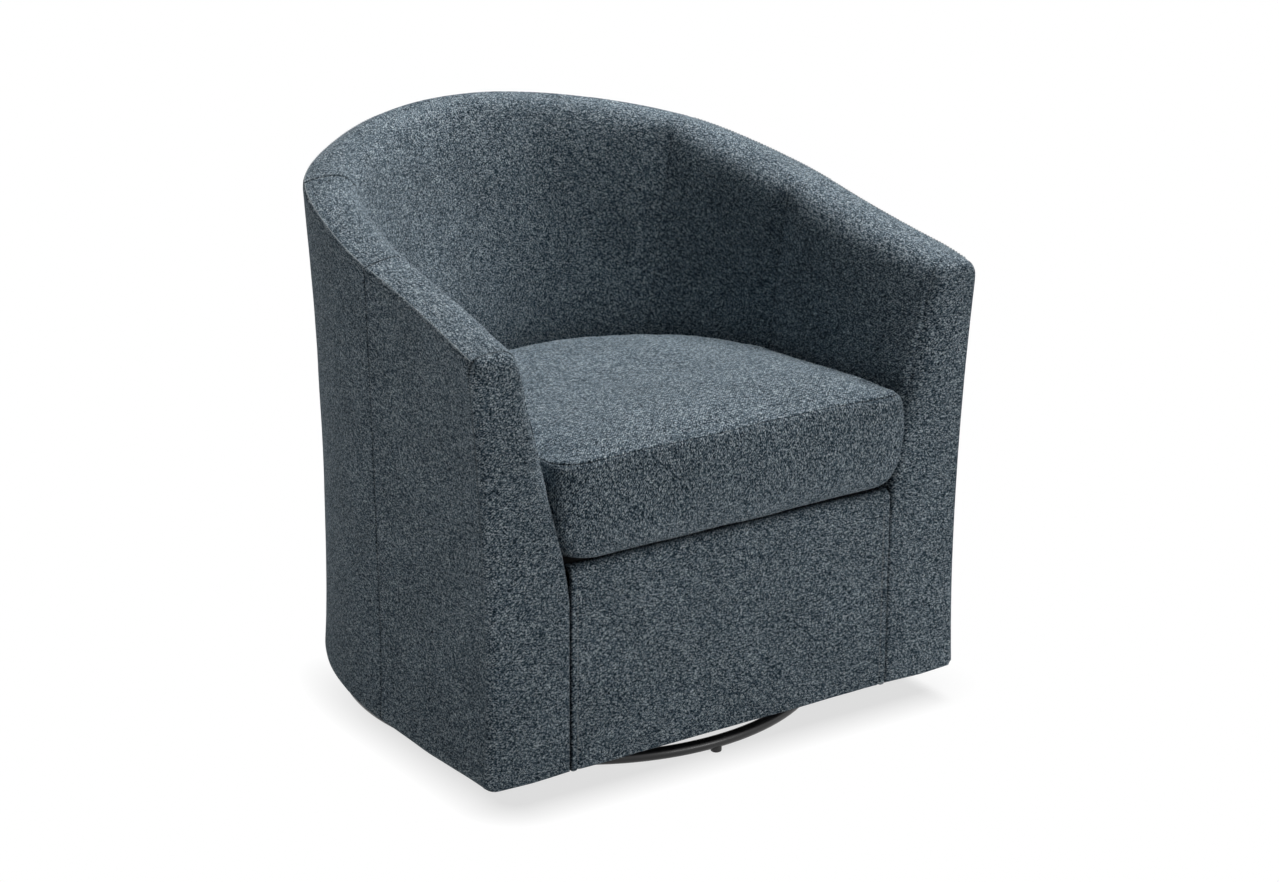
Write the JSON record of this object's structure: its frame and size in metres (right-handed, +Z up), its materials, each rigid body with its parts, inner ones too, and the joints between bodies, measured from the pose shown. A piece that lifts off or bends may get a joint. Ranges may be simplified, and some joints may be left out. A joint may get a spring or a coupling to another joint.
{
  "type": "swivel tub chair",
  "caption": "Upholstered tub chair with a curved back that runs into the arms, a loose boxed seat cushion, and a low steel ring base on which the seat turns.",
  "frame": {"origin": "on the floor under the swivel axis, at the centre of the footprint box", "axes": "+Z up, -Y towards the front of the seat, +X to the right of a viewer who faces the chair"},
  "size_m": [0.7394, 0.7101, 0.708],
  "materials": {
    "upholstery": "heathered slate blue-grey twill",
    "black_steel": "satin black powder coat",
    "zinc_steel": "zinc plated",
    "black_plastic": "moulded nylon",
    "timber": "sanded plywood",
    "webbing": "woven elastic webbing",
    "lining": "black non-woven cloth",
    "foam": "open-cell foam"
  },
  "bodies": {
    "base": {"base_ring": "black_steel", "base_long_tube": "black_steel", "base_short_tubes": "black_steel", "floor_glides": "black_plastic", "lower_bearing_plate": "zinc_steel", "lower_plate_screws": "zinc_steel", "pivot_stud": "zinc_steel", "pivot_washer": "zinc_steel", "pivot_nut": "zinc_steel"},
    "bearing_cage": {"ball_cage": "black_plastic", "bearing_balls": "zinc_steel"},
    "seat": {"upper_bearing_plate": "zinc_steel", "upper_plate_screws": "zinc_steel", "pivot_bush": "black_plastic", "bottom_frame": "timber", "swivel_rails": "timber", "arm_post_left": "timber", "arm_post_right": "timber", "side_post_left": "timber", "side_post_right": "timber", "corner_post_left": "timber", "corner_post_right": "timber", "back_post": "timber", "rim_rail_left": "timber", "rim_rail_right": "timber", "rim_rail_back": "timber", "deck_frame": "timber", "front_rail": "timber", "webbing_lengthwise": "webbing", "webbing_crosswise": "webbing", "deck_pad": "lining", "outside_arm_left": "upholstery", "outside_arm_right": "upholstery", "outside_back": "upholstery", "inside_arm_left": "upholstery", "inside_arm_right": "upholstery", "inside_corner_left": "upholstery", "inside_corner_right": "upholstery", "inside_back": "upholstery", "arm_front_left": "upholstery", "arm_front_right": "upholstery", "front_cover": "upholstery", "dust_cover": "lining"},
    "cushion": {"cushion_cover": "upholstery", "cushion_core": "foam"}
  },
  "joints": [
    {"name": "swivel", "type": "hinge", "parent": "base", "child": "seat", "pos_m": [0, 0, 0.03565], "axis": [0, 0, 1], "continuous": true},
    {"name": "cage_turn", "type": "hinge", "parent": "base", "child": "bearing_cage", "pos_m": [0, 0, 0.03565], "axis": [0, 0, 1], "continuous": true},
    {"name": "cushion_lift", "type": "slide", "parent": "seat", "child": "cushion", "axis": [0, 0, 1], "range_m": [0, 0.35]}
  ],
  "couplings": [
    {"joint": "cage_turn", "follows": "swivel", "ratio": 0.5}
  ]
}
